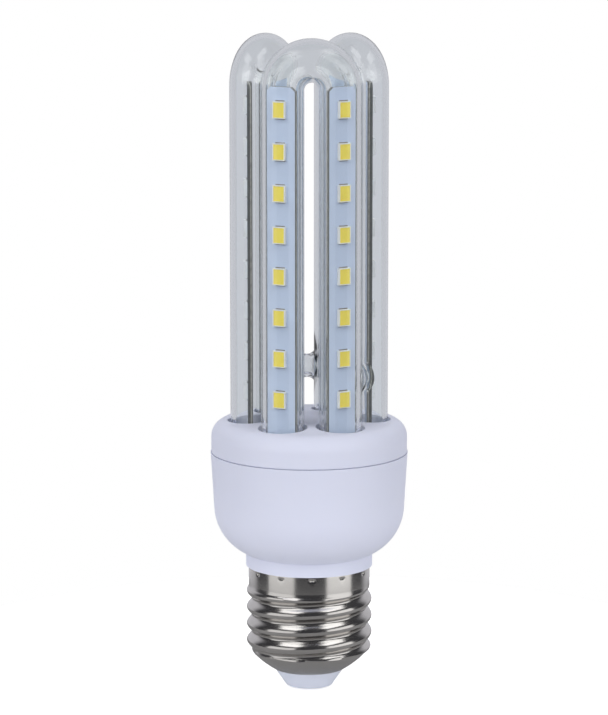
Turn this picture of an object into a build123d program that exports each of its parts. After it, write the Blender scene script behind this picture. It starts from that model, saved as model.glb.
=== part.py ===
from build123d import *
import math
import os

# Clear glass LED lamp: three U-tubes fused into one envelope, on a plastic housing with an E27 screw cap.
# Millimetres. Z runs up the lamp's axis from the flat face of the centre contact, and one U faces -Y.

# Screw cap
thread_radius = 13.05
thread_depth = 1.10
thread_pitch = 3.629
thread_length = 14.0
first_crest_rise = 0.42
shell_wall = 0.30
rim_radius = 7.70
cone_height = 3.50
skirt_radius = 12.60
skirt_length = 4.70
dent_count = 12
dent_radius = 0.60
dent_depth = 0.35
dent_drop = 0.75

# Insulator and centre contact
contact_radius = 2.35
contact_thickness = 0.50
contact_edge_round = 0.17
rivet_radius = 1.10
rivet_collar_radius = 1.75
insulator_height = 4.10
insulator_foot_radius = 5.00
insulator_edge_round = 0.40
insulator_floor = 2.40
insulator_cavity_radius = 4.20
insulator_collar = 1.20

# Lower housing
neck_radius = 13.45
neck_height = 2.00
sleeve_length = 4.20
sleeve_wall = 1.00
housing_radius = 20.90
housing_height = 22.50
housing_draft = 3.40
housing_round = 11.00
housing_wall = 1.70
board_ledge_depth = 4.80
ledge_rim_wall = 1.20

# Top cover
cover_step = 0.15
cover_height = 7.40
cover_wall = 1.60
cover_round = 3.40
seam_gap = 0.18
seam_depth = 0.45
crown_flat_radius = 7.00
crown_slope = 3.50
spigot_wall = 1.20
seat_ring_depth = 4.80
seat_ring_margin = 0.80
hole_clearance = 0.65

# Glass envelope
leg_circle_radius = 12.10
tube_radius = 4.55
tube_wall = 1.00
tube_exposed_height = 80.80
tube_foot_depth = 8.90
bridge_height = 9.20
bridge_waist_radius = 2.50
bridge_flare_radius = 3.50
adhesive_depth = 3.00
adhesive_recess = 2.20

# Light strips
strip_width = 6.40
strip_thickness = 1.00
strip_offset = 0.40
strip_top_gap = 9.90
strip_corner = 0.85
tail_width = 4.00
tail_past_board = 0.60
led_count = 8
led_pitch = 8.63
led_top_drop = 4.70
led_width = 2.80
led_length = 3.50
led_thickness = 0.75
window_width = 2.40
window_length = 3.15
window_depth = 0.45
phosphor_drop = 0.05

# Driver
board_thickness = 1.60
lead_radius = 0.30
lead_past_board = 0.50
wire_radius = 0.65
wire_bend = 1.30
capacitor_radius = 4.00
capacitor_length = 13.00
capacitor_lead_pitch = 3.50
capacitor_groove = 0.40
capacitor_groove_drop = 2.00
coil_radius = 4.00
coil_length = 9.00
coil_flange = 1.20
coil_core_radius = 1.80
coil_lead_pitch = 4.50
film_width = 9.00
film_depth = 4.40
film_height = 8.00
film_round = 0.90
film_lead_pitch = 7.00
fuse_radius = 1.50
fuse_length = 8.00
fuse_round = 0.50
fuse_drop = 4.00
chip_length = 4.90
chip_width = 3.90
chip_height = 1.50
chip_leg = 0.40
chip_leg_pitch = 1.25
pair_gap = 1.00

# Fits
slip = 0.10
seat = 0.05
stand_off = 0.30

# Heights of the stack, from the contact's flat face up
rim_z = contact_thickness + insulator_height
cone_top_z = rim_z + cone_height
skirt_z = cone_top_z + thread_length
neck_z = skirt_z + skirt_length
bowl_z = neck_z + neck_height
seam_z = bowl_z + housing_height
cover_top_z = seam_z + cover_height
tube_top_z = cover_top_z + tube_exposed_height
tube_foot_z = cover_top_z - tube_foot_depth
board_z = seam_z - board_ledge_depth
board_top_z = board_z + board_thickness

# Shared radii and angles
root_radius = thread_radius - thread_depth
thread_round = (thread_depth**2 + thread_pitch**2 / 4) / (4 * thread_depth)
cone_angle = math.atan2(cone_height, root_radius - rim_radius)
sleeve_radius = skirt_radius - shell_wall - slip
bowl_corner_radius = housing_radius - housing_height * math.tan(math.radians(housing_draft))
cover_radius = housing_radius - cover_step
ledge_radius = housing_radius - ledge_rim_wall
board_radius = ledge_radius - slip
leg_spacing = leg_circle_radius
leg_half_spacing = leg_spacing / 2
strip_circle_radius = leg_circle_radius + strip_offset
apothem = leg_circle_radius * math.cos(math.radians(30))
arch_z = tube_top_z - tube_radius - leg_half_spacing
hole_radius = tube_radius + hole_clearance
u_angles = (0, 120, 240)
leg_angles = tuple(-120 + 60 * step for step in range(6))
bridged_legs = (-60, 60)


def half_section(points, rounds=()):
    """Closed half section in the XZ plane, with the listed corners rounded."""
    face = make_face(Polyline(*points, close=True))
    for corner, radius in rounds:
        face = fillet(face.vertices().sort_by_distance(corner)[:1], radius)
    return Plane.XZ * face


def turned(points, rounds=()):
    """Solid of revolution about the lamp's axis."""
    return revolve(half_section(points, rounds), Axis.Z)


def upright(radius, low, high, x=0.0, y=0.0):
    """Vertical round bar between two heights."""
    bar = Cylinder(radius, high - low, align=(Align.CENTER, Align.CENTER, Align.MIN))
    return Pos(x, y, low) * bar


def round_the_axis(shape, angles):
    """Copies of a shape turned about the lamp's axis."""
    return [Rot(0, 0, angle) * shape for angle in angles]


# Screw shell: thin metal with a rolled round thread, made as an outer form less the same form inset.
thread_facets = 2
groove_overcut = 0.15
run_in_turns = 0.10
run_out_turns = 0.30


def groove_section(inset):
    """Groove of the round thread: facets on its root arc, then on the crest arcs beside it."""
    half_pitch = thread_pitch / 2
    root_centre = root_radius - inset + thread_round
    crest_centre = thread_radius - inset - thread_round
    tilt = math.atan2(half_pitch, root_centre - crest_centre)
    steps = [tilt * step / thread_facets for step in range(thread_facets + 1)]
    flank = [(root_centre - thread_round * math.cos(a), thread_round * math.sin(a)) for a in steps]
    for angle in reversed(steps[1:-1]):
        along = thread_round * math.sin(angle)
        flank.append((crest_centre + thread_round * math.cos(angle), half_pitch - along))
    mouth = thread_radius - inset + groove_overcut
    flank.append((mouth, half_pitch - groove_overcut))
    flank.append((mouth + thread_depth, half_pitch - groove_overcut))
    lower_flank = [(radius, -height) for radius, height in reversed(flank[1:])]
    return Plane.XZ * make_face(Polyline(*lower_flank, *flank, close=True))


def thread_groove(inset):
    """Right-handed helical groove, which runs in over the cone and out below the skirt."""
    turns = run_in_turns + thread_length / thread_pitch + run_out_turns
    helix = Helix(thread_pitch, turns * thread_pitch, root_radius)
    groove = sweep(groove_section(inset), path=helix, is_frenet=True)
    start_z = cone_top_z + first_crest_rise - (run_in_turns + 0.5) * thread_pitch
    return Pos(0, 0, start_z) * Rot(0, 0, -360 * run_in_turns) * groove


def shell_form(inset):
    """Solid inside the shell's outer face, or inside its inner face when inset by the wall."""
    root = root_radius - inset
    crest = thread_radius - inset
    skirt = skirt_radius - inset
    corner_z = cone_top_z + inset * (1 - math.sin(cone_angle)) / math.cos(cone_angle)
    mouth = root - (corner_z - rim_z) / math.tan(cone_angle)
    blank = turned(
        [
            (0, rim_z),
            (mouth, rim_z),
            (root, corner_z),
            (crest, corner_z + first_crest_rise),
            (crest, skirt_z),
            (skirt, skirt_z + crest - skirt),
            (skirt, neck_z),
            (0, neck_z),
        ]
    )
    return blank - thread_groove(inset)


def crimp_dents(grow):
    """Conical punch marks just under the shell's top edge that pin it to the housing."""
    reach = dent_depth + grow
    height = reach + dent_depth
    point = Cone(height * dent_radius / dent_depth, 0, height)
    place = Pos(skirt_radius - reach + height / 2, 0, neck_z - dent_drop) * Rot(0, -90, 0)
    return round_the_axis(place * point, [360 / dent_count * step for step in range(dent_count)])


def make_screw_shell():
    """Rolled shell with an open rim at the foot, crimped to the housing below its top edge."""
    outer = shell_form(0) - crimp_dents(0)
    inner = shell_form(shell_wall) - crimp_dents(shell_wall)
    return outer - inner


def make_cap_insulator():
    """Plastic cone through the shell's rim, with a collar that lies on the cone's inner face."""
    drop = shell_wall / math.cos(cone_angle) + seat
    throat = rim_radius - shell_wall / math.sin(cone_angle) - seat
    collar_radius = (rim_radius + root_radius) / 2
    collar_z = rim_z + (collar_radius - rim_radius) * math.tan(cone_angle) + drop
    throat_z = rim_z + (throat - rim_radius) * math.tan(cone_angle) + drop
    floor_z = contact_thickness + insulator_floor
    foot = (insulator_foot_radius, contact_thickness)
    return turned(
        [
            (rivet_radius + seat, contact_thickness),
            foot,
            (rim_radius, rim_z - seat),
            (throat, rim_z - seat),
            (throat, throat_z),
            (collar_radius, collar_z),
            (collar_radius, collar_z + insulator_collar),
            (insulator_cavity_radius, collar_z + insulator_collar),
            (insulator_cavity_radius, floor_z),
            (rivet_radius + seat, floor_z),
        ],
        [(foot, insulator_edge_round)],
    )


def make_centre_contact():
    """Flat rivet: head below the insulator, shank through it, upset collar on its floor."""
    floor_z = contact_thickness + insulator_floor
    head_edge = (contact_radius, 0)
    return turned(
        [
            (0, 0),
            head_edge,
            (contact_radius, contact_thickness - seat / 2),
            (rivet_radius, contact_thickness - seat / 2),
            (rivet_radius, floor_z + seat / 2),
            (rivet_collar_radius, floor_z + seat / 2),
            (rivet_collar_radius, floor_z + contact_thickness),
            (0, floor_z + contact_thickness),
        ],
        [(head_edge, contact_edge_round)],
    )


def make_lower_housing():
    """Moulded cup: sleeve inside the shell, neck ring, round bowl and a ledge for the board."""
    bowl_corner = (bowl_corner_radius, bowl_z)
    bowl = turned(
        [(0, bowl_z), bowl_corner, (housing_radius, seam_z), (0, seam_z)],
        [(bowl_corner, housing_round)],
    )
    body = bowl + upright(neck_radius, neck_z, bowl_z + housing_wall)
    sleeve = upright(sleeve_radius, neck_z - sleeve_length, neck_z)
    body += sleeve - crimp_dents(shell_wall + seat)
    floor_z = bowl_z + housing_wall
    inner_corner = (bowl_corner_radius - housing_wall, floor_z)
    hollow = turned(
        [(0, floor_z), inner_corner, (housing_radius - housing_wall, seam_z), (0, seam_z)],
        [(inner_corner, housing_round - housing_wall)],
    )
    bore = upright(sleeve_radius - sleeve_wall, neck_z - sleeve_length, floor_z + housing_wall)
    ledge = upright(ledge_radius, board_z, seam_z)
    return body - hollow - bore - ledge


def cover_form(inset, low):
    """Solid under the cover's outer face, or under its inner face when inset by the wall."""
    side = cover_radius - inset
    fall = (cover_radius - crown_flat_radius) * math.tan(math.radians(crown_slope))
    edge = (side, cover_top_z - inset - fall)
    flat = (crown_flat_radius, cover_top_z - inset)
    return turned(
        [(0, low), (side, low), edge, flat, (0, cover_top_z - inset)],
        [(edge, cover_round - inset)],
    )


def make_top_cover():
    """Crowned cap with six tube holes in a seat ring, a shadow gap at the seam and a spigot over the board."""
    ring_outer = leg_circle_radius + hole_radius + seat_ring_margin
    ring_inner = leg_circle_radius - hole_radius - seat_ring_margin
    ring_low = cover_top_z - seat_ring_depth
    ring = upright(ring_outer, ring_low, cover_top_z) - upright(ring_inner, ring_low, cover_top_z)
    cover = cover_form(0, seam_z) - cover_form(cover_wall, seam_z)
    cover += ring & cover_form(0, seam_z)
    gap_top = seam_z + seam_gap
    cover -= upright(housing_radius, seam_z, gap_top) - upright(cover_radius - seam_depth, seam_z, gap_top)
    spigot_radius = ledge_radius - slip
    spigot_low = board_top_z + slip
    spigot_top = seam_z + cover_wall
    spigot = upright(spigot_radius, spigot_low, spigot_top)
    cover += spigot - upright(spigot_radius - spigot_wall, spigot_low, spigot_top)
    hole = upright(hole_radius, ring_low, cover_top_z, leg_circle_radius)
    return cover - round_the_axis(hole, leg_angles)


def u_form(radius, foot):
    """Solid U of round section that faces -Y: two legs and a half-turn arch."""
    left = (-leg_half_spacing, -apothem)
    right = (leg_half_spacing, -apothem)
    rise = Line((*left, foot), (*left, arch_z))
    arch = ThreePointArc((*left, arch_z), (0, -apothem, arch_z + leg_half_spacing), (*right, arch_z))
    fall = Line((*right, arch_z), (*right, foot))
    section = Pos(*left, foot) * Circle(radius)
    return sweep(section, path=Wire([rise, arch, fall]))


def bridge_form(waist, flare):
    """Waisted neck that fuses the leg at +X to the next leg counter-clockwise."""
    near = tube_radius - tube_wall / 2
    far = leg_spacing - near
    neck = ThreePointArc((near, flare), (leg_spacing / 2, waist), (far, flare))
    sides = Polyline(neck @ 1, (far, 0), (near, 0), neck @ 0)
    solid = revolve(make_face([neck, *sides.edges()]), Axis.X)
    height = cover_top_z + bridge_height
    return Pos(leg_circle_radius, 0, height) * Rot(0, 0, 120) * solid


def make_glass_tubes():
    """Three hollow U-tubes fused by two hollow bridges, open at the feet."""
    inner_radius = tube_radius - tube_wall
    outside = bridge_form(bridge_waist_radius, bridge_flare_radius)
    inside = bridge_form(bridge_waist_radius - tube_wall, bridge_waist_radius - tube_wall / 2)
    envelope = Part() + round_the_axis(u_form(tube_radius, tube_foot_z), u_angles)
    envelope += round_the_axis(outside, bridged_legs)
    envelope -= round_the_axis(u_form(inner_radius, tube_foot_z - tube_wall), u_angles)
    bore_reach = Pos(leg_circle_radius, 0, cover_top_z + bridge_height) * Rot(0, 0, 120)
    bore = bore_reach * Rot(0, 90, 0) * Cylinder(
        bridge_waist_radius - tube_wall, leg_spacing, align=(Align.CENTER, Align.CENTER, Align.MIN)
    )
    envelope -= round_the_axis(bore, bridged_legs)
    envelope -= round_the_axis(inside, bridged_legs)
    return envelope


def make_tube_adhesive():
    """Rings of sealant that bond each leg into its hole."""
    top = cover_top_z - adhesive_recess
    low = top - adhesive_depth
    ring = upright(hole_radius - seat, low, top) - upright(tube_radius + seat, low, top)
    return round_the_axis(Pos(leg_circle_radius, 0, 0) * ring, leg_angles)


strip_top_z = tube_top_z - strip_top_gap
strip_face_x = strip_circle_radius + strip_thickness / 2
led_heights = [strip_top_z - led_top_drop - led_pitch * step for step in range(led_count)]


def make_led_strip():
    """Circuit strip at +X: clipped top corners, and a narrow tail through the board."""
    half = strip_width / 2
    tail = tail_width / 2
    shoulder_z = board_top_z + slip
    outline = Polyline(
        (-tail, board_z - tail_past_board),
        (tail, board_z - tail_past_board),
        (tail, shoulder_z),
        (half, shoulder_z),
        (half, strip_top_z - strip_corner),
        (half - strip_corner, strip_top_z),
        (-half + strip_corner, strip_top_z),
        (-half, strip_top_z - strip_corner),
        (-half, shoulder_z),
        (-tail, shoulder_z),
        close=True,
    )
    strip = extrude(Plane.YZ * make_face(outline), strip_thickness / 2, both=True)
    return Pos(strip_circle_radius, 0, 0) * strip


def make_led_packages():
    """White package bodies at +X, each with a well for its phosphor."""
    centre = (Align.MIN, Align.CENTER, Align.CENTER)
    body = Box(led_thickness, led_width, led_length, align=centre)
    well = Box(window_depth, window_width, window_length, align=centre)
    package = body - Pos(led_thickness - window_depth, 0, 0) * well
    return [Pos(strip_face_x, 0, height) * package for height in led_heights]


def make_led_phosphors():
    """Phosphor fill at +X, a little below the rim of each package's well."""
    fill = Box(
        window_depth - phosphor_drop,
        window_width - seat,
        window_length - seat,
        align=(Align.MIN, Align.CENTER, Align.CENTER),
    )
    floor_x = strip_face_x + led_thickness - window_depth
    return [Pos(floor_x, 0, height) * fill for height in led_heights]


# Driver layout on the board's underside: plan positions of the pieces and of their leads.
cap_place = (-capacitor_radius - pair_gap / 2, pair_gap)
coil_place = (coil_radius + pair_gap / 2, pair_gap)
row_y = pair_gap - max(capacitor_radius, coil_radius) - film_depth / 2 - pair_gap
film_place = (0.0, row_y)
back_y = pair_gap + max(capacitor_radius, coil_radius)
fuse_place = (0.0, back_y + fuse_radius)
neutral_place = (0.0, row_y - film_depth / 2 - wire_radius - pair_gap)
rectifier_place = (-apothem, -leg_half_spacing)
chip_place = (apothem, -leg_half_spacing)
under_z = board_z - stand_off
lead_top_z = board_top_z + lead_past_board


def lead_pair(place, pitch, low):
    """Two bare leads that stand through the board."""
    return [upright(lead_radius, low, lead_top_z, place[0] + side * pitch / 2, place[1]) for side in (-1, 1)]


def make_driver_board():
    """Round board on the housing's ledge, with slots for the strips and holes for the leads."""
    board = upright(board_radius, board_z, board_top_z)
    slot = Box(strip_thickness + 2 * slip, tail_width + 2 * slip, 3 * board_thickness)
    board -= round_the_axis(Pos(strip_circle_radius, 0, board_z) * slot, leg_angles)
    holes = [(fuse_place, lead_radius), (neutral_place, wire_radius)]
    pairs = ((cap_place, capacitor_lead_pitch), (coil_place, coil_lead_pitch), (film_place, film_lead_pitch))
    for (x, y), pitch in pairs:
        holes += [((x - pitch / 2, y), lead_radius), ((x + pitch / 2, y), lead_radius)]
    for place, radius in holes:
        board -= upright(radius + seat, board_z, board_top_z, *place)
    return board


def make_bulk_capacitor():
    """Electrolytic can with a rolled groove above its bung and two leads."""
    low = under_z - capacitor_length
    groove_z = under_z - capacitor_groove_drop
    can = turned(
        [
            (0, low),
            (capacitor_radius, low),
            (capacitor_radius, groove_z - capacitor_groove),
            (capacitor_radius - capacitor_groove, groove_z),
            (capacitor_radius, groove_z + capacitor_groove),
            (capacitor_radius, under_z),
            (0, under_z),
        ],
        [((capacitor_radius, low), capacitor_groove)],
    )
    body = Pos(*cap_place, 0) * can
    return body + lead_pair(cap_place, capacitor_lead_pitch, under_z - capacitor_groove)


def make_coil_core():
    """Drum core with two flanges and two pins."""
    low = under_z - coil_length
    core = upright(coil_core_radius, low, under_z)
    core += upright(coil_radius, low, low + coil_flange)
    core += upright(coil_radius, under_z - coil_flange, under_z)
    return Pos(*coil_place, 0) * core + lead_pair(coil_place, coil_lead_pitch, under_z - coil_flange / 2)


def make_coil_winding():
    """Wound wire between the drum core's flanges."""
    low = under_z - coil_length + coil_flange + seat
    high = under_z - coil_flange - seat
    winding = upright(coil_radius - 2 * seat, low, high) - upright(coil_core_radius + seat, low, high)
    return Pos(*coil_place, 0) * winding


def make_film_capacitor():
    """Dipped film capacitor with rounded edges and two leads."""
    body = Box(film_width, film_depth, film_height, align=(Align.CENTER, Align.CENTER, Align.MAX))
    body = fillet(body.edges(), film_round)
    placed = Pos(*film_place, under_z) * body
    return placed + lead_pair(film_place, film_lead_pitch, under_z - film_round)


fuse_top_z = board_z - fuse_drop
fuse_low_z = fuse_top_z - fuse_length


def make_fuse_resistor():
    """Fusible resistor that hangs in line with the live lead."""
    low_edge = (fuse_radius, fuse_low_z)
    top_edge = (fuse_radius, fuse_top_z)
    body = turned(
        [(0, fuse_low_z), low_edge, top_edge, (0, fuse_top_z)],
        [(low_edge, fuse_round), (top_edge, fuse_round)],
    )
    lead = upright(lead_radius, fuse_top_z - fuse_round, lead_top_z)
    return Pos(*fuse_place, 0) * (body + lead)


def make_live_lead():
    """Insulated wire from the rivet's collar up to the fusible resistor."""
    start_z = contact_thickness + insulator_floor + contact_thickness + seat
    step = fuse_place[1]
    low_bend_z = (neck_z + fuse_low_z - 3 * step) / 2
    route = FilletPolyline(
        (0, 0, start_z),
        (0, 0, low_bend_z),
        (0, step, low_bend_z + step),
        (*fuse_place, fuse_low_z - seat),
        radius=step / 2,
    )
    return sweep(Pos(0, 0, start_z) * Circle(wire_radius), path=route)


def make_neutral_lead():
    """Insulated wire from the board down to the shell's inner wall below the sleeve."""
    x, y = neutral_place
    end_y = -(root_radius - shell_wall - seat)
    end_z = neck_z - sleeve_length - 2 * wire_radius
    route = FilletPolyline((x, y, lead_top_z), (x, y, end_z), (x, end_y, end_z), radius=wire_bend)
    return sweep(Pos(x, y, lead_top_z) * Circle(wire_radius), path=route)


def make_package_chip(place):
    """Moulded package with a row of legs on each long side, under the board."""
    hung = (Align.CENTER, Align.CENTER, Align.MAX)
    chip = Pos(*place, board_z - chip_leg / 2) * Box(chip_length, chip_width, chip_height, align=hung)
    leg = Box(chip_leg, chip_height, chip_leg, align=hung)
    for side in (-1, 1):
        for step in (-1.5, -0.5, 0.5, 1.5):
            along = place[0] + step * chip_leg_pitch
            chip += Pos(along, place[1] + side * chip_width / 2, board_z) * leg
    return chip


parts = {
    "screw_shell": make_screw_shell(),
    "cap_insulator": make_cap_insulator(),
    "centre_contact": make_centre_contact(),
    "lower_housing": make_lower_housing(),
    "top_cover": make_top_cover(),
    "glass_tubes": make_glass_tubes(),
    "tube_adhesive": make_tube_adhesive(),
    "driver_board": make_driver_board(),
    "bulk_capacitor": make_bulk_capacitor(),
    "coil_core": make_coil_core(),
    "coil_winding": make_coil_winding(),
    "film_capacitor": make_film_capacitor(),
    "fuse_resistor": make_fuse_resistor(),
    "live_lead": make_live_lead(),
    "neutral_lead": make_neutral_lead(),
    "bridge_rectifier": make_package_chip(rectifier_place),
    "driver_chip": make_package_chip(chip_place),
}

strip = make_led_strip()
packages = make_led_packages()
phosphors = make_led_phosphors()
for number, angle in enumerate(leg_angles, start=1):
    parts[f"led_strip_{number}"] = Rot(0, 0, angle) * strip
    parts[f"led_packages_{number}"] = [Rot(0, 0, angle) * package for package in packages]
    parts[f"led_phosphors_{number}"] = [Rot(0, 0, angle) * phosphor for phosphor in phosphors]

os.makedirs("parts", exist_ok=True)
for name, shape in parts.items():
    solids = Compound(children=shape) if isinstance(shape, list) else shape
    export_step(solids, f"parts/{name}.step")
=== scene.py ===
import logging
import math
from collections.abc import Iterable, Sequence
from dataclasses import dataclass
from enum import Enum
from functools import cache

import bmesh
import bpy
from mathutils import Matrix, Vector


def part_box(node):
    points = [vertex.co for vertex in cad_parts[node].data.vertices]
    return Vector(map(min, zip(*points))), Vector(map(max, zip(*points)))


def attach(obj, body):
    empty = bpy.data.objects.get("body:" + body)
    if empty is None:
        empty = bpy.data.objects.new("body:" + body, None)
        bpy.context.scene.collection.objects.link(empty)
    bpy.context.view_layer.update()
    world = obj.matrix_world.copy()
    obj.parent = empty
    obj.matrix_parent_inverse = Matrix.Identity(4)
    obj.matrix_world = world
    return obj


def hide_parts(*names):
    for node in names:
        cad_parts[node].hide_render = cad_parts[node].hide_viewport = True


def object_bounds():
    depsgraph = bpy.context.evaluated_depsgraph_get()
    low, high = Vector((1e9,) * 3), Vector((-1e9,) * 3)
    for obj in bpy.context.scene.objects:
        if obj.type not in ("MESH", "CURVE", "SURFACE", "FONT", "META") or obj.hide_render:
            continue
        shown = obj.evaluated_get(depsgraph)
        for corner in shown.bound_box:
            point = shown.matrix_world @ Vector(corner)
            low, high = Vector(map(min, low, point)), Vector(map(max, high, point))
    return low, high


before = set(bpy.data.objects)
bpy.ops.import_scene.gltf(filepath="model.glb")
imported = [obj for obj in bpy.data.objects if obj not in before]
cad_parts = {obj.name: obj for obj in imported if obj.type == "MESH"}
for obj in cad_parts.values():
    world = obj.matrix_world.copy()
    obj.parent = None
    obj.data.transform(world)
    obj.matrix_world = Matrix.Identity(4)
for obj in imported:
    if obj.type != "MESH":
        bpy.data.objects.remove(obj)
CAD_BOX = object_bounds()

Colour = tuple[float, float, float]
Stretch = tuple[float, float, float]
Ring = tuple[float, float]

BODY = "root"
LOG = logging.getLogger("lamp")

MM = 0.001
WELD = 0.001 * MM
ANY_SIDES = 0
WHITE: Colour = (1.0, 1.0, 1.0)

# Socket numbers of the Mix node when it mixes colours.
MIX_FACTOR, MIX_LOW, MIX_HIGH, MIX_RESULT = 0, 6, 7, 2


class Leg(Enum):
    """The six tube legs by the number of their light strip, with their angle round the lamp's axis in degrees."""

    FRONT_LEFT = (1, -120.0)
    FRONT_RIGHT = (2, -60.0)
    RIGHT_FRONT = (3, 0.0)
    RIGHT_REAR = (4, 60.0)
    LEFT_REAR = (5, 120.0)
    LEFT_FRONT = (6, 180.0)

    @property
    def number(self) -> int:
        """Number of the leg's strip."""
        return self.value[0]

    @property
    def angle(self) -> float:
        """Angle round the lamp's axis, in radians from +X."""
        return math.radians(self.value[1])


LEG_STEP = math.tau / len(Leg)


class Ray(Enum):
    """Light Path outputs that the stage and the glass answer to."""

    CAMERA = "Is Camera Ray"
    GLOSSY = "Is Glossy Ray"
    TRANSMISSION = "Is Transmission Ray"
    DIFFUSE = "Is Diffuse Ray"
    SHADOW = "Is Shadow Ray"


def deselect_all() -> None:
    """Leaves object mode with nothing selected."""
    if bpy.context.object and bpy.context.object.mode != "OBJECT":
        bpy.ops.object.mode_set(mode="OBJECT")
    bpy.ops.object.select_all(action="DESELECT")


def make_active(piece: bpy.types.Object) -> None:
    """Selects one piece alone and makes it the active one.

    Args:
        piece: The piece to work on.
    """
    deselect_all()
    piece.select_set(True)
    bpy.context.view_layer.objects.active = piece


def start_ring(name: str, radius: float, sides: int, place: Vector) -> bpy.types.Object:
    """Adds an open ring of edges in edit mode, with its object at the origin.

    Args:
        name: Name of the piece.
        radius: Radius of the ring.
        sides: Number of edges.
        place: Centre of the ring.

    Returns:
        The new piece, in edit mode with the whole ring selected.
    """
    deselect_all()
    bpy.ops.mesh.primitive_circle_add(vertices=sides, radius=radius, fill_type="NOTHING", location=(0, 0, 0))
    piece = bpy.context.object
    piece.name = name
    piece.data.name = name
    bpy.ops.object.mode_set(mode="EDIT")
    bpy.ops.mesh.select_all(action="SELECT")
    bpy.ops.transform.translate(value=place)
    return piece


def extrude_by(step: Vector) -> None:
    """Extrudes the selected edges by a step."""
    bpy.ops.mesh.extrude_region_move(TRANSFORM_OT_translate={"value": step})


def scale_ring(factor: float, centre: Vector) -> None:
    """Scales the selected level ring about a point on its axis."""
    bpy.ops.transform.resize(value=(factor, factor, 1.0), center_override=centre)


def turn_rings(name: str, rings: Sequence[Ring], sides: int) -> bpy.types.Object:
    """Draws up a ring of edges along a profile about the Z axis.

    Args:
        name: Name of the piece.
        rings: Radius and height of each ring, in order along the profile.
        sides: Number of edges in each ring.

    Returns:
        The turned skin, in edit mode with its last ring selected.
    """
    radius, height = rings[0]
    piece = start_ring(name, radius, sides, Vector((0, 0, height)))
    for next_radius, next_height in rings[1:]:
        extrude_by(Vector((0, 0, next_height - height)))
        scale_ring(next_radius / radius, Vector((0, 0, next_height)))
        radius, height = next_radius, next_height
    return piece


def orient() -> None:
    """Turns all normals outwards and leaves edit mode."""
    bpy.ops.mesh.select_all(action="SELECT")
    bpy.ops.mesh.normals_make_consistent(inside=False)
    bpy.ops.object.mode_set(mode="OBJECT")


def close_and_orient() -> None:
    """Closes open rims with flat faces and turns the normals outwards."""
    bpy.ops.mesh.select_all(action="SELECT")
    bpy.ops.mesh.fill_holes(sides=ANY_SIDES)
    orient()


def copy_piece(piece: bpy.types.Object, name: str, place: Matrix) -> bpy.types.Object:
    """Copies a piece with its own mesh and moves the copy's mesh.

    Args:
        piece: The piece to copy.
        name: Name of the copy.
        place: Turn or shift of the copy.

    Returns:
        The copy, with its place in its mesh.
    """
    twin = piece.copy()
    twin.data = piece.data.copy()
    twin.name = name
    twin.data.name = name
    twin.data.transform(place)
    bpy.context.scene.collection.objects.link(twin)
    return twin


def join_pieces(pieces: Sequence[bpy.types.Object], name: str) -> bpy.types.Object:
    """Joins pieces into the first one.

    Args:
        pieces: The pieces to join.
        name: Name of the joined piece.

    Returns:
        The joined piece.
    """
    make_active(pieces[0])
    for piece in pieces[1:]:
        piece.select_set(True)
    bpy.ops.object.join()
    pieces[0].name = name
    pieces[0].data.name = name
    return pieces[0]


def apply_modifier(piece: bpy.types.Object, kind: str, **settings: object) -> None:
    """Adds a modifier to a piece, sets it and applies it.

    Args:
        piece: The piece to change.
        kind: Modifier type.
        settings: Values of the modifier's properties.
    """
    make_active(piece)
    bpy.ops.object.modifier_add(type=kind)
    modifier = piece.modifiers[-1]
    for key, value in settings.items():
        setattr(modifier, key, value)
    bpy.ops.object.modifier_apply(modifier=modifier.name)


def combine(piece: bpy.types.Object, tools: Iterable[bpy.types.Object], operation: str) -> None:
    """Fuses tool pieces into a piece, or cuts them out of it, and removes the tools.

    Args:
        piece: The piece to change.
        tools: Closed pieces to fuse or cut with.
        operation: UNION or DIFFERENCE.
    """
    for tool in tools:
        apply_modifier(piece, "BOOLEAN", object=tool, operation=operation, solver="EXACT")
        bpy.data.objects.remove(tool)


def smooth(piece: bpy.types.Object, angle: float) -> None:
    """Shades a piece smooth, with edges kept sharp past an angle in degrees."""
    make_active(piece)
    bpy.ops.object.shade_smooth_by_angle(angle=math.radians(angle))


def settle(piece: bpy.types.Object, material: bpy.types.Material, slot: str, *nodes: str) -> bpy.types.Object:
    """Dresses a finished piece and ties it to the frame.

    Args:
        piece: The finished piece.
        material: Its material.
        slot: Name of a material slot; not used.
        nodes: CAD nodes that it stands for.

    Returns:
        The piece.
    """
    piece.data.materials.clear()
    piece.data.materials.append(material)
    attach(piece, BODY)
    if nodes:
        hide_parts(*nodes)
    LOG.info("%s: %d faces", piece.name, len(piece.data.polygons))
    return piece


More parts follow.
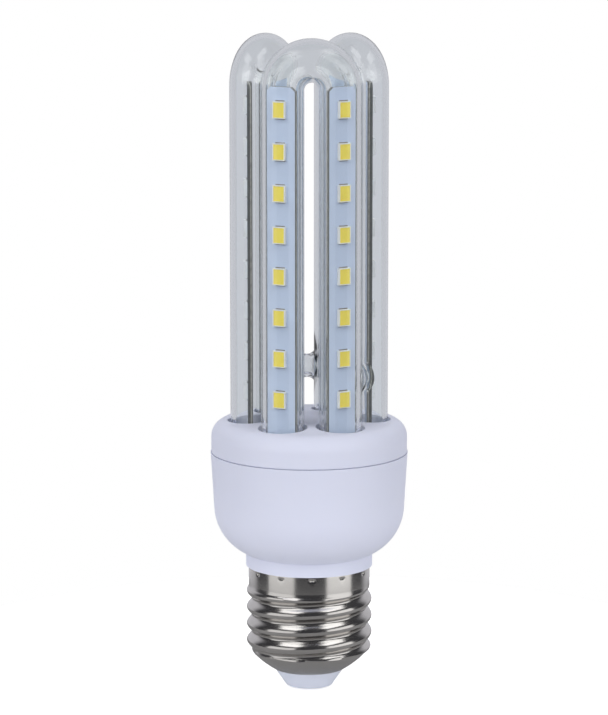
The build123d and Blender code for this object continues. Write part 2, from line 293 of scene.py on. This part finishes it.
class Graph:
    """Short hand for adding and joining shader nodes in one tree."""

    def __init__(self, tree: bpy.types.NodeTree) -> None:
        """Keeps the tree to work on."""
        self.tree = tree

    def add(self, kind: str, **settings: object) -> bpy.types.Node:
        """Adds a node.

        Args:
            kind: Node type without its ShaderNode prefix.
            settings: Values of the node's properties.

        Returns:
            The new node.
        """
        node = self.tree.nodes.new("ShaderNode" + kind)
        for key, value in settings.items():
            setattr(node, key, value)
        return node

    def join(self, source: bpy.types.NodeSocket, target: bpy.types.NodeSocket) -> None:
        """Links an output socket to an input socket."""
        self.tree.links.new(source, target)

    def feed(self, socket: bpy.types.NodeSocket, value: object) -> None:
        """Links an input to an output, or sets it to a plain value.

        Args:
            socket: The input.
            value: An output, a number, a vector or a colour.
        """
        if isinstance(value, bpy.types.NodeSocket):
            self.join(value, socket)
        elif socket.type == "RGBA":
            socket.default_value = (*value, 1.0)
        else:
            socket.default_value = value

    def fill(self, node: bpy.types.Node, values: dict[str, object]) -> None:
        """Feeds several inputs of a node by name."""
        for name, value in values.items():
            self.feed(node.inputs[name], value)

    def mix(self, factor: bpy.types.NodeSocket, low: object, high: object) -> bpy.types.NodeSocket:
        """Adds a colour mix.

        Args:
            factor: Output that drives the mix.
            low: Colour, or colour output, at factor 0.
            high: Colour, or colour output, at factor 1.

        Returns:
            The mixed colour's output.
        """
        node = self.add("Mix", data_type="RGBA")
        for number, value in ((MIX_FACTOR, factor), (MIX_LOW, low), (MIX_HIGH, high)):
            self.feed(node.inputs[number], value)
        return node.outputs[MIX_RESULT]

    def math(self, operation: str, first: object, second: object) -> bpy.types.NodeSocket:
        """Adds a math node.

        Args:
            operation: Name of the operation.
            first: Number or output.
            second: Number or output.

        Returns:
            The result's output.
        """
        node = self.add("Math", operation=operation)
        for number, value in enumerate((first, second)):
            self.feed(node.inputs[number], value)
        return node.outputs[0]


def group_sockets(tree: bpy.types.NodeTree, inputs: dict[str, str], outputs: dict[str, str]) -> None:
    """Declares a group's sockets.

    Args:
        tree: The group's tree.
        inputs: Socket types of the inputs by name.
        outputs: Socket types of the outputs by name.
    """
    for names, side in ((inputs, "INPUT"), (outputs, "OUTPUT")):
        for name, kind in names.items():
            tree.interface.new_socket(name=name, in_out=side, socket_type="NodeSocket" + kind)


@cache
def surface_group() -> bpy.types.NodeTree:
    """Makes, once, the group of slow tone and gloss changes that every moulded or plated surface has.

    Returns:
        The group, whose outputs feed a colour, a roughness and a bump height.
    """
    patch_detail, grain_detail, middle = 3.0, 2.0, 0.5
    tree = bpy.data.node_groups.new("surface_variation", "ShaderNodeTree")
    group_sockets(
        tree,
        {
            "Vector": "Vector",
            "Colour": "Color",
            "Shade": "Color",
            "Roughness": "Float",
            "Spread": "Float",
            "Patch Scale": "Float",
            "Grain Scale": "Float",
        },
        {"Colour": "Color", "Roughness": "Float", "Height": "Float"},
    )
    graph = Graph(tree)
    given = tree.nodes.new("NodeGroupInput").outputs
    patches = graph.add("TexNoise")
    graph.fill(patches, {"Vector": given["Vector"], "Scale": given["Patch Scale"], "Detail": patch_detail})
    grain = graph.add("TexNoise")
    graph.fill(grain, {"Vector": given["Vector"], "Scale": given["Grain Scale"], "Detail": grain_detail})
    swing = graph.math("SUBTRACT", patches.outputs["Fac"], middle)
    swing = graph.math("MULTIPLY", swing, given["Spread"])
    results = {
        "Colour": graph.mix(patches.outputs["Fac"], given["Colour"], given["Shade"]),
        "Roughness": graph.math("ADD", given["Roughness"], swing),
        "Height": grain.outputs["Fac"],
    }
    graph.fill(tree.nodes.new("NodeGroupOutput"), results)
    return tree


def new_material(name: str) -> tuple[bpy.types.Material, Graph, bpy.types.Node]:
    """Starts a node material.

    Args:
        name: Name of the material.

    Returns:
        The material, the graph of its nodes and its shader.
    """
    material = bpy.data.materials.new(name)
    material.use_nodes = True
    return material, Graph(material.node_tree), material.node_tree.nodes["Principled BSDF"]


@dataclass(frozen=True)
class Finish:
    """A finish of a solid surface: its colour, its darker patches, its gloss and its grain."""

    name: str
    colour: Colour
    shade: Colour
    roughness: float
    spread: float = 0.06
    metallic: float = 0.0
    coat: float = 0.0
    subsurface: float = 0.0
    scatter: Colour = (1.0, 0.9, 0.8)
    scatter_depth: float = 0.6 * MM
    patch_scale: float = 60.0
    grain_scale: float = 2500.0
    grain: float = 0.02
    grain_depth: float = 0.1 * MM
    stretch: Stretch = (1.0, 1.0, 1.0)

    def material(self) -> bpy.types.Material:
        """Builds the finish's material.

        Returns:
            A node material on Object coordinates.
        """
        material, graph, shader = new_material(self.name)
        place = graph.add("TexCoord")
        mapping = graph.add("Mapping")
        graph.fill(mapping, {"Vector": place.outputs["Object"], "Scale": self.stretch})
        group = graph.add("Group", node_tree=surface_group())
        values = {
            "Vector": mapping.outputs["Vector"],
            "Colour": self.colour,
            "Shade": self.shade,
            "Roughness": self.roughness,
            "Spread": self.spread,
            "Patch Scale": self.patch_scale,
            "Grain Scale": self.grain_scale,
        }
        graph.fill(group, values)
        bump = graph.add("Bump")
        height = group.outputs["Height"]
        graph.fill(bump, {"Strength": self.grain, "Distance": self.grain_depth, "Height": height})
        look = {
            "Base Color": group.outputs["Colour"],
            "Roughness": group.outputs["Roughness"],
            "Normal": bump.outputs["Normal"],
            "Metallic": self.metallic,
            "Coat Weight": self.coat,
        }
        if self.subsurface:
            look["Subsurface Weight"] = self.subsurface
            look["Subsurface Radius"] = self.scatter
            look["Subsurface Scale"] = self.scatter_depth
        graph.fill(shader, look)
        return material


@dataclass(frozen=True)
class LayeredEdge:
    """A cut board edge, on which a pale core shows between two dark layers."""

    name: str
    colour: Colour
    core: Colour
    core_inner: float
    core_outer: float
    wear_scale: float = 900.0
    wear_gain: float = 1.6
    roughness: float = 0.5

    def material(self) -> bpy.types.Material:
        """Builds the edge material.

        Returns:
            A node material that finds the layers by their distance from the lamp's axis.
        """
        material, graph, shader = new_material(self.name)
        place = graph.add("TexCoord").outputs["Object"]
        level = graph.add("VectorMath", operation="MULTIPLY")
        graph.feed(level.inputs[0], place)
        graph.feed(level.inputs[1], (1.0, 1.0, 0.0))
        radius = graph.add("VectorMath", operation="LENGTH")
        graph.join(level.outputs["Vector"], radius.inputs[0])
        outside = graph.math("GREATER_THAN", radius.outputs["Value"], self.core_inner)
        inside = graph.math("LESS_THAN", radius.outputs["Value"], self.core_outer)
        noise = graph.add("TexNoise")
        graph.fill(noise, {"Vector": place, "Scale": self.wear_scale})
        worn = graph.math("MULTIPLY", graph.math("MULTIPLY", outside, inside), noise.outputs["Fac"])
        worn = graph.math("MULTIPLY", worn, self.wear_gain)
        look = {"Base Color": graph.mix(worn, self.colour, self.core), "Roughness": self.roughness}
        graph.fill(shader, look)
        return material


@dataclass(frozen=True)
class ClearGlass:
    """Clear drawn glass, which lets most of the lamps' direct light through to the strips."""

    name: str
    colour: Colour = (0.972, 0.985, 0.980)
    ior: float = 1.47
    shadow: float = 0.03

    def material(self) -> bpy.types.Material:
        """Builds the glass material.

        Returns:
            A node material with plain transmission and a faint shadow.
        """
        material, graph, shader = new_material(self.name)
        path = graph.add("LightPath")
        passed = graph.math("MULTIPLY", path.outputs[Ray.SHADOW.value], 1.0 - self.shadow)
        look = {
            "Base Color": self.colour,
            "Roughness": 0.0,
            "IOR": self.ior,
            "Transmission Weight": 1.0,
            "Alpha": graph.math("SUBTRACT", 1.0, passed),
        }
        graph.fill(shader, look)
        return material


WHITE_PLASTIC = Finish("white_plastic", (0.72, 0.745, 0.885), (0.70, 0.725, 0.865), 0.55, subsurface=0.12)
INSULATOR = Finish("insulator_plastic", (0.73, 0.765, 0.88), (0.70, 0.735, 0.85), 0.45, subsurface=0.15)
NICKEL = Finish("nickel_shell", (0.69, 0.67, 0.645), (0.63, 0.61, 0.59), 0.18, 0.05, 1.0, stretch=(1, 1, 6))
TINNED = Finish("contact_metal", (0.62, 0.60, 0.56), (0.50, 0.48, 0.44), 0.30, 0.10, 1.0)
SEALANT = Finish("sealant", (0.78, 0.79, 0.80), (0.70, 0.71, 0.73), 0.55, subsurface=0.1)
SOLDER_MASK = Finish("strip_board", (0.56, 0.66, 0.855), (0.535, 0.632, 0.825), 0.40, coat=0.15)
STRIP_EDGE = LayeredEdge("strip_edge", (0.085, 0.09, 0.09), (0.40, 0.40, 0.38), 12.58 * MM, 12.85 * MM)
# Solder painted much darker than bare solder: partly real solder, partly painted shade for the thin shadow lines
# at both ends of each package.
SOLDER_AND_PAINTED_SHADE = Finish("solder", (0.26, 0.25, 0.24), (0.17, 0.16, 0.15), 0.35, 0.15, 1.0, patch_scale=900.0)
LED_BODY = Finish("led_body", (0.86, 0.865, 0.855), (0.82, 0.825, 0.815), 0.45)
PHOSPHOR = Finish("phosphor", (0.97, 0.82, 0.11), (0.91, 0.745, 0.085), 0.30, coat=0.4, patch_scale=700.0)
LAMINATE = Finish("board_laminate", (0.62, 0.48, 0.26), (0.52, 0.40, 0.21), 0.50, patch_scale=250.0)
CAN_SLEEVE = Finish("capacitor_sleeve", (0.03, 0.035, 0.06), (0.02, 0.025, 0.04), 0.30)
FERRITE = Finish("ferrite", (0.05, 0.05, 0.05), (0.03, 0.03, 0.03), 0.60, patch_scale=900.0)
COPPER = Finish("copper_wire", (0.60, 0.26, 0.10), (0.50, 0.20, 0.07), 0.25, 0.1, 1.0, stretch=(1, 1, 40))
FILM_DIP = Finish("film_dip", (0.36, 0.07, 0.04), (0.30, 0.05, 0.03), 0.25, coat=0.3)
FUSE_COAT = Finish("fuse_body", (0.12, 0.26, 0.18), (0.09, 0.20, 0.14), 0.55)
LIVE_SLEEVE = Finish("live_wire", (0.36, 0.03, 0.03), (0.30, 0.02, 0.02), 0.45)
NEUTRAL_SLEEVE = Finish("neutral_wire", (0.74, 0.74, 0.72), (0.66, 0.66, 0.64), 0.45)
CHIP_EPOXY = Finish("chip_epoxy", (0.02, 0.02, 0.022), (0.03, 0.03, 0.03), 0.55, grain=0.06)
GLASS = ClearGlass("clear_glass")

NODE_FINISHES: dict[str, Finish] = {
    "cap_insulator": INSULATOR,
    "centre_contact": TINNED,
    "lower_housing": WHITE_PLASTIC,
    "top_cover": WHITE_PLASTIC,
    "tube_adhesive": SEALANT,
    "driver_board": LAMINATE,
    "bulk_capacitor": CAN_SLEEVE,
    "coil_core": FERRITE,
    "coil_winding": COPPER,
    "film_capacitor": FILM_DIP,
    "fuse_resistor": FUSE_COAT,
    "live_lead": LIVE_SLEEVE,
    "neutral_lead": NEUTRAL_SLEEVE,
    "bridge_rectifier": CHIP_EPOXY,
    "driver_chip": CHIP_EPOXY,
}


class Paintshop:
    """Makes each finish's material once and hands it out."""

    def __init__(self) -> None:
        """Starts with no materials."""
        self.made: dict[str, bpy.types.Material] = {}

    def get(self, finish: Finish | LayeredEdge | ClearGlass) -> bpy.types.Material:
        """Gives the finish's material.

        Args:
            finish: The finish to look up.

        Returns:
            Its material, made on first use.
        """
        if finish.name not in self.made:
            self.made[finish.name] = finish.material()
        return self.made[finish.name]

    def dress_node(self, node: str, *finishes: Finish | LayeredEdge) -> bpy.types.Mesh:
        """Gives a CAD node its finishes, the first of them all over.

        Args:
            node: Name of the node.
            finishes: Finishes for the node's material slots, in order.

        Returns:
            The node's mesh.
        """
        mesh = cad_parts[node].data
        mesh.materials.clear()
        for finish in finishes:
            mesh.materials.append(self.get(finish))
        return mesh


@dataclass
class GlassEnvelope:
    """Three glass U-tubes fused into one envelope by two hollow bridges."""

    leg_circle: float = 12.1 * MM
    tube_wall: float = 1.0 * MM
    tube_count: int = 3
    bridge_rise: float = 9.2 * MM
    bridge_waist: float = 2.5 * MM
    bridge_flare: float = 3.9 * MM
    flare_power: float = 2.5
    bridge_steps: int = 16
    bridge_clearance: float = 7.5 * MM
    round_sides: int = 64
    arch_steps: int = 40
    sharp_angle: float = 50.0

    def __post_init__(self) -> None:
        """Reads the tubes' places off the frame."""
        low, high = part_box("glass_tubes")
        self.tube_radius = high.x - self.leg_circle
        self.half_spacing = self.leg_circle / 2
        self.apothem = self.leg_circle * math.cos(LEG_STEP / 2)
        self.foot_z = low.z
        self.arch_z = high.z - self.tube_radius - self.half_spacing
        self.bridge_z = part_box("top_cover")[1].z + self.bridge_rise

    def u_solid(self, name: str, radius: float, foot_z: float) -> bpy.types.Object:
        """Draws a ring up one leg, round the arch and down the other leg.

        Args:
            name: Name of the piece.
            radius: Radius of the tube's section.
            foot_z: Height of the tube's feet.

        Returns:
            A closed solid U that faces -Y.
        """
        below = self.bridge_z - self.bridge_clearance
        above = self.bridge_z + self.bridge_clearance
        heights = [foot_z, below, above, self.arch_z]
        rises = [end - start for start, end in zip(heights, heights[1:])]
        piece = start_ring(name, radius, self.round_sides, Vector((-self.half_spacing, -self.apothem, foot_z)))
        for rise in rises:
            extrude_by(Vector((0, 0, rise)))
        arch_centre = Vector((0, -self.apothem, self.arch_z))
        bpy.ops.mesh.spin(steps=self.arch_steps, angle=-math.pi, center=arch_centre, axis=(0, 1, 0))
        for rise in reversed(rises):
            extrude_by(Vector((0, 0, -rise)))
        bpy.ops.mesh.select_all(action="SELECT")
        bpy.ops.mesh.remove_doubles(threshold=WELD)
        close_and_orient()
        return piece

    def bridge_solid(self, name: str, waist: float, flare: float) -> bpy.types.Object:
        """Draws the waisted neck between the leg at +X and the next leg counter-clockwise.

        Args:
            name: Name of the piece.
            waist: Radius half way.
            flare: Radius where the neck meets the tubes.

        Returns:
            A closed solid that reaches into both tubes' walls.
        """
        reach = self.tube_radius - self.tube_wall / 2
        half = self.half_spacing - reach
        rings: list[Ring] = []
        for step in range(self.bridge_steps + 1):
            along = 2 * step / self.bridge_steps - 1
            rings.append((waist + (flare - waist) * abs(along) ** self.flare_power, along * half))
        piece = turn_rings(name, rings, self.round_sides)
        close_and_orient()
        to_neck = (
            Matrix.Translation((self.leg_circle, 0, self.bridge_z))
            @ Matrix.Rotation(2 * LEG_STEP, 4, "Z")
            @ Matrix.Translation((self.half_spacing, 0, 0))
            @ Matrix.Rotation(math.pi / 2, 4, "Y")
        )
        piece.data.transform(to_neck)
        return piece

    def spread(self, piece: bpy.types.Object, turns: Sequence[float]) -> list[bpy.types.Object]:
        """Copies a piece to each turn about the lamp's axis and removes the pattern.

        Args:
            piece: The pattern.
            turns: Angles about the axis, in radians.

        Returns:
            The copies.
        """
        copies = []
        for number, turn in enumerate(turns, 1):
            copies.append(copy_piece(piece, f"{piece.name}_{number}", Matrix.Rotation(turn, 4, "Z")))
        bpy.data.objects.remove(piece)
        return copies

    def build(self, shop: Paintshop) -> bpy.types.Object:
        """Fuses the tubes and bridges and bores them out.

        Args:
            shop: Source of the glass material.

        Returns:
            The glass envelope.
        """
        u_turns = [number * math.tau / self.tube_count for number in range(self.tube_count)]
        bridge_turns = [Leg.FRONT_RIGHT.angle, Leg.RIGHT_REAR.angle]
        bore = self.bridge_waist - self.tube_wall
        bore_flare = bore + self.tube_wall / 2
        inner_radius = self.tube_radius - self.tube_wall
        inner_foot_z = self.foot_z - self.tube_wall
        outer = self.spread(self.u_solid("u_outer", self.tube_radius, self.foot_z), u_turns)
        inner = self.spread(self.u_solid("u_inner", inner_radius, inner_foot_z), u_turns)
        necks = self.spread(self.bridge_solid("neck_outer", self.bridge_waist, self.bridge_flare), bridge_turns)
        bores = self.spread(self.bridge_solid("neck_inner", bore, bore_flare), bridge_turns)
        envelope = join_pieces(outer, "glass_envelope")
        combine(envelope, necks, "UNION")
        combine(envelope, inner, "DIFFERENCE")
        combine(envelope, bores, "DIFFERENCE")
        smooth(envelope, self.sharp_angle)
        return settle(envelope, shop.get(GLASS), "clear_glass", "glass_tubes")


@dataclass
class ScrewShell:
    """Rolled metal screw shell: open rim, cone, round thread and a punched skirt."""

    pitch: float = 3.629 * MM
    depth: float = 1.10 * MM
    crest_rise: float = 0.42 * MM
    wall: float = 0.30 * MM
    rim_radius: float = 7.70 * MM
    cone_height: float = 3.50 * MM
    cone_bulge: float = 0.30
    skirt_radius: float = 12.60 * MM
    skirt_length: float = 4.7 * MM
    fade_below: float = 0.5 * MM
    fade_above: float = 0.15 * MM
    blend: float = 0.35 * MM
    dent_count: int = 12
    dent_radius: float = 0.62 * MM
    dent_depth: float = 0.38 * MM
    dent_drop: float = 0.85 * MM
    lip_round: float = 0.28 * MM
    lip_turn: float = 0.9
    sides: int = 288
    cone_rows: int = 10
    thread_rows: int = 84
    plain_rows: int = 4
    dent_rows: int = 24
    sharp_angle: float = 40.0

    def __post_init__(self) -> None:
        """Reads the shell's box off the frame."""
        low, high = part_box("screw_shell")
        self.crest_radius = high.x
        self.root_radius = self.crest_radius - self.depth
        self.rim_z = low.z
        self.top_z = high.z
        self.skirt_z = self.top_z - self.skirt_length
        self.cone_top_z = self.rim_z + self.cone_height

    def cone(self, z: float) -> float:
        """Works out the slightly bowed cone, carried on past its top.

        Args:
            z: Height.

        Returns:
            The cone's radius.
        """
        share = (z - self.rim_z) / self.cone_height
        bowed = share + self.cone_bulge * max(share, 0.0) * max(1.0 - share, 0.0)
        return self.rim_radius + (self.root_radius - self.rim_radius) * bowed

    def thread(self, angle: float, z: float) -> float:
        """Works out the endless round thread.

        Args:
            angle: Angle round the axis from +X, in radians.
            z: Height.

        Returns:
            The radius on an even wave between root and crest.
        """
        turns = (z - self.cone_top_z - self.crest_rise) / self.pitch - angle / math.tau
        return self.root_radius + self.depth * 0.5 * (1 + math.cos(math.tau * turns))

    def radius_at(self, angle: float, z: float) -> float:
        """Works out the shell's outer face.

        Args:
            angle: Angle round the axis from +X, in radians.
            z: Height.

        Returns:
            The radius, with the thread run in over the cone and out under the skirt.
        """
        radius = self.thread(angle, z)
        cone = self.cone(z)
        near = max(self.blend - abs(radius - cone), 0.0) / self.blend
        radius = min(radius, cone) - near * near * self.blend / 4
        share = (z - self.skirt_z + self.fade_below) / (self.fade_below + self.fade_above)
        share = min(max(share, 0.0), 1.0)
        share = share * share * (3 - 2 * share)
        radius += (self.skirt_radius - radius) * share
        return radius - self.dent(angle, z) - self.lip(z)

    def dent(self, angle: float, z: float) -> float:
        """Works out the ring of punch marks under the top edge.

        Args:
            angle: Angle round the axis from +X, in radians.
            z: Height.

        Returns:
            How deep the skin is pressed in.
        """
        step = math.tau / self.dent_count
        off = (angle / step - round(angle / step)) * step * self.skirt_radius
        reach = math.hypot(off, z - self.top_z + self.dent_drop) / self.dent_radius
        return self.dent_depth * 0.5 * (1 + math.cos(math.pi * reach)) if reach < 1 else 0.0

    def lip(self, z: float) -> float:
        """Inward turn of the top edge at a height."""
        share = max((z - self.top_z) / self.lip_round + 1.0, 0.0) * self.lip_turn
        return self.lip_round * (1.0 - math.sqrt(1.0 - share**2))

    def rows(self) -> list[float]:
        """Sets the heights of the rings, closer together where the shell is pressed.

        Returns:
            The heights from the rim to the top edge.
        """
        thread_top = self.skirt_z + self.fade_above
        dent_low = self.top_z - self.dent_drop - self.dent_radius
        spans = (
            (self.rim_z, self.cone_top_z, self.cone_rows),
            (self.cone_top_z, thread_top, self.thread_rows),
            (thread_top, dent_low, self.plain_rows),
            (dent_low, self.top_z, self.dent_rows),
        )
        heights = [self.rim_z]
        for low, high, count in spans:
            heights += [low + (high - low) * step / count for step in range(1, count + 1)]
        return heights

    def build(self, shop: Paintshop) -> bpy.types.Object:
        """Draws up the skin, rolls the thread and the punch marks into it and gives it its wall.

        Args:
            shop: Source of the metal.

        Returns:
            The screw shell.
        """
        piece = turn_rings("rolled_screw_shell", [(self.cone(z), z) for z in self.rows()], self.sides)
        mesh = bmesh.from_edit_mesh(piece.data)
        for vertex in mesh.verts:
            angle = math.atan2(vertex.co.y, vertex.co.x)
            radius = self.radius_at(angle, vertex.co.z)
            vertex.co.x, vertex.co.y = radius * math.cos(angle), radius * math.sin(angle)
        bmesh.update_edit_mesh(piece.data)
        orient()
        apply_modifier(piece, "SOLIDIFY", thickness=self.wall, offset=-1.0, use_even_offset=True)
        smooth(piece, self.sharp_angle)
        return settle(piece, shop.get(NICKEL), "nickel_shell", "screw_shell")


@dataclass
class LightStrips:
    """Six upright circuit strips as the CAD has them, dressed, with solder at both ends of each package."""

    pad_width: float = 2.1 * MM
    pad_height: float = 0.45 * MM
    pad_lift: float = 0.16 * MM
    pad_round: float = 0.08 * MM
    round_segments: int = 2
    led_count: int = 8
    led_pitch: float = 8.63 * MM
    facing: float = 0.5
    sharp_angle: float = 40.0

    def dress(self, leg: Leg, shop: Paintshop) -> None:
        """Gives a strip's faces their mask, its cut edges bare board, and its packages their finishes.

        Args:
            leg: The strip's leg.
            shop: Source of the materials.
        """
        strip = shop.dress_node(f"led_strip_{leg.number}", SOLDER_MASK, STRIP_EDGE)
        out = Vector((math.cos(leg.angle), math.sin(leg.angle), 0))
        for face in strip.polygons:
            face.material_index = 0 if abs(face.normal.dot(out)) > self.facing else 1
        shop.dress_node(f"led_packages_{leg.number}", LED_BODY)
        shop.dress_node(f"led_phosphors_{leg.number}", PHOSPHOR)

    def make_pad(self, place: Vector) -> bpy.types.Object:
        """Models one solder fillet on the strip at +X.

        Args:
            place: Middle of the fillet on the strip's face.

        Returns:
            A low bar with rounded upper edges.
        """
        deselect_all()
        bpy.ops.mesh.primitive_cube_add(size=1.0, location=(0, 0, 0))
        pad = bpy.context.object
        bpy.ops.object.mode_set(mode="EDIT")
        bpy.ops.mesh.select_all(action="SELECT")
        bpy.ops.transform.resize(value=(self.pad_lift, self.pad_width, self.pad_height))
        bpy.ops.transform.translate(value=place + Vector((self.pad_lift / 2, 0, 0)))
        mesh = bmesh.from_edit_mesh(pad.data)
        for edge in mesh.edges:
            edge.select_set(all(vertex.co.x > place.x + self.pad_lift / 2 for vertex in edge.verts))
        bmesh.update_edit_mesh(pad.data)
        bpy.ops.mesh.bevel(offset=self.pad_round, segments=self.round_segments, affect="EDGES")
        bpy.ops.object.mode_set(mode="OBJECT")
        return pad

    def make_row(self) -> bpy.types.Object:
        """Copies one fillet down the strip at +X, to both ends of each package.

        Returns:
            The row of fillets as one piece.
        """
        low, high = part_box(f"led_packages_{Leg.RIGHT_FRONT.number}")
        length = high.z - low.z - (self.led_count - 1) * self.led_pitch
        pads = [self.make_pad(Vector((low.x, 0, high.z)))]
        drops = [step * self.led_pitch + end for step in range(self.led_count) for end in (0.0, length)]
        for number, drop in enumerate(drops[1:], 2):
            pads.append(copy_piece(pads[0], f"pad_{number}", Matrix.Translation((0, 0, -drop))))
        return join_pieces(pads, "solder_row")

    def build(self, shop: Paintshop) -> list[bpy.types.Object]:
        """Dresses the strips' CAD nodes and adds the solder.

        Args:
            shop: Source of the materials.

        Returns:
            Each strip's solder fillets as one piece.
        """
        row = self.make_row()
        pieces = []
        for leg in Leg:
            self.dress(leg, shop)
            solder = copy_piece(row, f"solder_fillets_{leg.number}", Matrix.Rotation(leg.angle, 4, "Z"))
            smooth(solder, self.sharp_angle)
            # The fillets take the darkened solder finish, which holds painted shade along the package ends.
            pieces.append(settle(solder, shop.get(SOLDER_AND_PAINTED_SHADE), "contact_metal"))
        bpy.data.objects.remove(row)
        return pieces


def round_lamp(azimuth: float, distance: float, height: float) -> Vector:
    """Finds a point round the lamp.

    Args:
        azimuth: Angle from the front towards +X, in degrees.
        distance: Distance from the lamp's axis.
        height: Height.

    Returns:
        The point.
    """
    angle = math.radians(azimuth)
    return Vector((math.sin(angle) * distance, -math.cos(angle) * distance, height))


@dataclass
class Stage:
    """Pale round table in a dim studio with a pale backdrop."""

    table_radius: float = 0.100
    table_sides: int = 96
    table_roughness: float = 0.9
    table_colour: Colour = (0.90, 0.90, 0.90)
    table_reflected: Colour = (0.36, 0.36, 0.36)
    lift: float = 0.62
    lift_through: float = 0.10
    lift_bounced: float = 0.09
    room_front: Colour = (0.045, 0.045, 0.05)
    room_back: Colour = (0.60, 0.60, 0.64)
    back_from: float = 0.35
    back_full: float = 0.70
    through_glass: Colour = (0.58, 0.59, 0.64)
    first_bounce: float = 0.5

    def table_material(self) -> bpy.types.Material:
        """Builds the table's material, lifted to white for the camera.

        Returns:
            The material, which still takes the lamp's shadow.
        """
        material, graph, shader = new_material("pale_table")
        rays = graph.add("LightPath").outputs
        through = graph.math("MULTIPLY", rays[Ray.TRANSMISSION.value], self.lift_through)
        direct = graph.math("MULTIPLY", rays[Ray.CAMERA.value], self.lift)
        bounced = graph.math("MULTIPLY", rays[Ray.DIFFUSE.value], self.lift_bounced)
        look = {
            "Base Color": graph.mix(rays[Ray.GLOSSY.value], self.table_colour, self.table_reflected),
            "Roughness": self.table_roughness,
            "Specular IOR Level": 0.0,
            "Emission Color": WHITE,
            "Emission Strength": graph.math("ADD", graph.math("ADD", direct, through), bounced),
        }
        graph.fill(shader, look)
        return material

    def build_table(self) -> None:
        """Lays the table's top under the lamp's contact."""
        deselect_all()
        bpy.ops.mesh.primitive_circle_add(
            vertices=self.table_sides, radius=self.table_radius, fill_type="NGON", location=(0, 0, 0)
        )
        table = bpy.context.object
        table.name = "table"
        table.data.materials.append(self.table_material())

    def build_room(self) -> None:
        """Sets a dim room with a pale backdrop behind the lamp, which is white to the camera."""
        world = bpy.data.worlds.new("room")
        bpy.context.scene.world = world
        world.use_nodes = True
        graph = Graph(world.node_tree)
        split = graph.add("SeparateXYZ")
        graph.join(graph.add("TexCoord").outputs["Generated"], split.inputs["Vector"])
        ramp = graph.add("MapRange", interpolation_type="SMOOTHSTEP")
        span = {"Value": split.outputs["Y"], "From Min": self.back_from, "From Max": self.back_full}
        graph.fill(ramp, span)
        shown = graph.mix(ramp.outputs["Result"], self.room_front, self.room_back)
        rays = graph.add("LightPath").outputs
        straight = graph.math("LESS_THAN", rays["Diffuse Depth"], self.first_bounce)
        straight = graph.math("MULTIPLY", straight, rays[Ray.TRANSMISSION.value])
        shown = graph.mix(straight, shown, self.through_glass)
        shown = graph.mix(rays[Ray.CAMERA.value], shown, WHITE)
        graph.join(shown, world.node_tree.nodes["Background"].inputs["Color"])

    def build(self) -> None:
        """Sets up the table, the room and the plain view transform."""
        self.build_table()
        self.build_room()
        bpy.context.scene.view_settings.view_transform = "Standard"


@dataclass(frozen=True)
class Softbox:
    """A rectangular studio lamp that points at the bulb, and may stay out of what metal and glass show."""

    name: str
    azimuth: float
    height: float
    distance: float
    width: float
    tall: float
    power: float
    in_metal: bool = True
    in_glass: bool = True

    def build(self, target: Vector) -> None:
        """Places the softbox.

        Args:
            target: Point that it faces.
        """
        place = round_lamp(self.azimuth, self.distance, self.height)
        deselect_all()
        bpy.ops.object.light_add(type="AREA", location=place)
        lamp = bpy.context.object
        lamp.name = self.name
        lamp.data.shape = "RECTANGLE"
        lamp.data.size = self.width
        lamp.data.size_y = self.tall
        lamp.data.energy = self.power
        lamp.rotation_euler = (target - place).to_track_quat("-Z", "Y").to_euler()
        lamp.visible_glossy = self.in_metal
        lamp.visible_transmission = self.in_glass


@dataclass
class PhotoCamera:
    """Camera at the photograph's angle, fitted to its outline."""

    distance: float = 0.6881
    height: float = 0.1895
    azimuth: float = -2.68
    tilt: float = 9.74
    lens: float = 166.44
    sensor: float = 36.0
    sideways: float = -0.0072
    near: float = 0.01
    far: float = 50.0

    def build(self) -> None:
        """Adds the camera and makes it the scene's own."""
        deselect_all()
        bpy.ops.object.camera_add(location=round_lamp(self.azimuth, self.distance, self.height))
        camera = bpy.context.object
        camera.rotation_euler = (math.radians(90 - self.tilt), 0, math.radians(self.azimuth))
        camera.data.sensor_width = self.sensor
        camera.data.lens = self.lens
        camera.data.shift_x = self.sideways
        camera.data.clip_start = self.near
        camera.data.clip_end = self.far
        bpy.context.scene.camera = camera


# Name, azimuth, height, distance, width, tall and power of each lamp, in degrees, metres and watts.
SOFTBOXES = (
    Softbox("softbox_left", -58.0, 0.12, 1.00, 1.06, 1.10, 3.1, in_glass=False),
    Softbox("softbox_right", 57.0, 0.12, 1.00, 1.02, 1.10, 3.6, in_glass=False),
    Softbox("key_left", -42.0, 0.58, 1.00, 1.00, 0.90, 6.3, in_metal=False),
    Softbox("key_right", 44.0, 0.58, 1.00, 0.94, 0.90, 4.8, in_metal=False),
    Softbox("fill_back", 180.0, 0.50, 1.00, 1.40, 0.90, 5.0, in_metal=False, in_glass=False),
    Softbox("top_left", -60.0, 1.00, 0.58, 0.66, 0.36, 1.2),
    Softbox("top_right", 60.0, 1.00, 0.58, 0.66, 0.36, 1.2),
)


def main() -> None:
    """Builds the lamp's looks round the frame, then the stage, the light and the camera."""
    logging.basicConfig(level=logging.INFO, format="%(name)s %(message)s")
    shop = Paintshop()
    for node, finish in NODE_FINISHES.items():
        shop.dress_node(node, finish)
        LOG.info("%s: dressed as %s", node, finish.name)
    GlassEnvelope().build(shop)
    ScrewShell().build(shop)
    LightStrips().build(shop)
    Stage().build()
    middle = (CAD_BOX[0] + CAD_BOX[1]) / 2
    for softbox in SOFTBOXES:
        softbox.build(middle)
    PhotoCamera().build()


if __name__ == "__main__":
    main()
